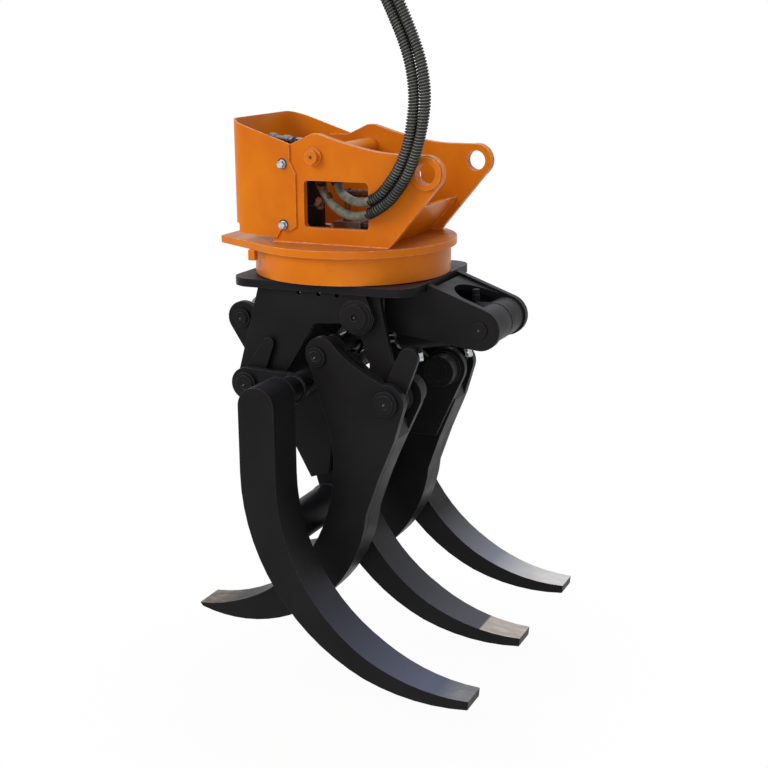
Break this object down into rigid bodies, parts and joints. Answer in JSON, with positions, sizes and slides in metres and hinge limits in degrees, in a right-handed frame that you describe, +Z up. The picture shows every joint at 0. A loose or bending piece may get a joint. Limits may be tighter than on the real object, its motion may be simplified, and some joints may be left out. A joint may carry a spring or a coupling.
{
  "type": "log grapple",
  "caption": "Hydraulic log grapple with a powered slew ring, a bolted head for the carrier's arm and two opposed curved tine jaws.",
  "frame": {"origin": "centre of the carrier pin's bore, midway between the head's cheek plates", "axes": "+Z up along the slew axis, +X from the slew axis toward the carrier pin, +Y across along the pins"},
  "size_m": [0.9932, 1.034, 2.0252],
  "materials": {
    "orange_paint": "satin gloss orange paint",
    "black_paint": "satin black paint",
    "bare_steel": "machined bare steel",
    "zinc_plate": "zinc plated fasteners",
    "chromed_rod": "polished chrome",
    "bronze": "dull bronze",
    "rubber": "black hose cover"
  },
  "bodies": {
    "head": {"head_flange": "orange_paint", "ring_housing": "orange_paint", "cheek_front": "orange_paint", "cheek_rear": "orange_paint", "cross_plate": "orange_paint", "stick_bosses": "orange_paint", "guard_sheet": "orange_paint", "guard_bolts": "zinc_plate", "link_pin": "orange_paint", "slew_gearbox": "bare_steel", "slew_motor": "black_paint", "valve_block": "bronze", "transfer_tube": "black_paint", "bearing_outer_race": "bare_steel", "race_bolts": "zinc_plate", "swivel_core": "bare_steel", "lube_block": "orange_paint", "dust_seal": "rubber", "hose_inner": "rubber", "hose_outer": "rubber", "hose_couplers": "bare_steel"},
    "pinion": {"drive_pinion": "bare_steel"},
    "lower_frame": {"turntable_plate": "black_paint", "inner_gear_ring": "bare_steel", "bearing_balls": "bare_steel", "gear_bolts": "zinc_plate", "swivel_sleeve": "bare_steel", "frame_front": "black_paint", "frame_rear": "black_paint", "frame_legs": "black_paint", "frame_web": "black_paint", "arm_plates": "black_paint", "arm_top_plate": "black_paint", "base_pin": "black_paint", "pivot_pins": "black_paint", "keeper_flags": "black_paint", "tie_shaft": "black_paint"},
    "cylinder_three": {"barrel_three": "black_paint", "gland_three": "bare_steel"},
    "ram_three": {"rod_three": "chromed_rod", "piston_three": "bronze"},
    "cylinder_two": {"barrel_two": "black_paint", "gland_two": "bare_steel"},
    "ram_two": {"rod_two": "chromed_rod", "piston_two": "bronze"},
    "jaw_three": {"crank_plates": "black_paint", "pivot_tube_three": "black_paint", "outer_plates": "black_paint", "cross_tube": "black_paint", "tie_tube": "black_paint", "tine_front": "black_paint", "tine_middle": "black_paint", "tine_rear": "black_paint", "rod_pin": "black_paint"},
    "jaw_two": {"side_plate_front": "black_paint", "side_plate_rear": "black_paint", "side_boxes": "black_paint", "inner_plates": "black_paint", "pivot_hubs_two": "black_paint", "rod_shaft": "black_paint"}
  },
  "joints": [
    {"name": "slew", "type": "hinge", "parent": "head", "child": "lower_frame", "pos_m": [-0.329, 0, -0.326], "axis": [0, 0, 1], "continuous": true},
    {"name": "pinion_spin", "type": "hinge", "parent": "head", "child": "pinion", "pos_m": [-0.497, 0, -0.296], "axis": [0, 0, 1], "continuous": true},
    {"name": "jaw_three_swing", "type": "hinge", "parent": "lower_frame", "child": "jaw_three", "pos_m": [-0.557, 0, -0.644], "axis": [0, 1, 0], "range_deg": [0, 55]},
    {"name": "jaw_two_swing", "type": "hinge", "parent": "lower_frame", "child": "jaw_two", "pos_m": [-0.091, 0, -0.656], "axis": [0, 1, 0], "range_deg": [-55, 0]},
    {"name": "cylinder_three_swing", "type": "hinge", "parent": "lower_frame", "child": "cylinder_three", "pos_m": [0.132, 0.053, -0.455], "axis": [0, 1, 0], "range_deg": [-0.1, 3.2]},
    {"name": "ram_three_slide", "type": "slide", "parent": "cylinder_three", "child": "ram_three", "axis": [-0.9993, 0, -0.0386], "range_m": [-0.178, 0.001]},
    {"name": "cylinder_two_swing", "type": "hinge", "parent": "lower_frame", "child": "cylinder_two", "pos_m": [0.132, -0.053, -0.455], "axis": [0, 1, 0], "range_deg": [-24.6, 0.1]},
    {"name": "ram_two_slide", "type": "slide", "parent": "cylinder_two", "child": "ram_two", "axis": [-0.9837, 0, -0.1799], "range_m": [-0.001, 0.108]}
  ],
  "couplings": [
    {"joint": "pinion_spin", "follows": "slew", "ratio": 4.5},
    {"joint": "jaw_two_swing", "follows": "jaw_three_swing", "ratio": -1},
    {"joint": "cylinder_three_swing", "follows": "jaw_three_swing", "ratio": 0.055931},
    {"joint": "ram_three_slide", "follows": "jaw_three_swing", "m_per_rad": -0.18358},
    {"joint": "cylinder_two_swing", "follows": "jaw_three_swing", "ratio": -0.44468},
    {"joint": "ram_two_slide", "follows": "jaw_three_swing", "m_per_rad": 0.11108}
  ]
}
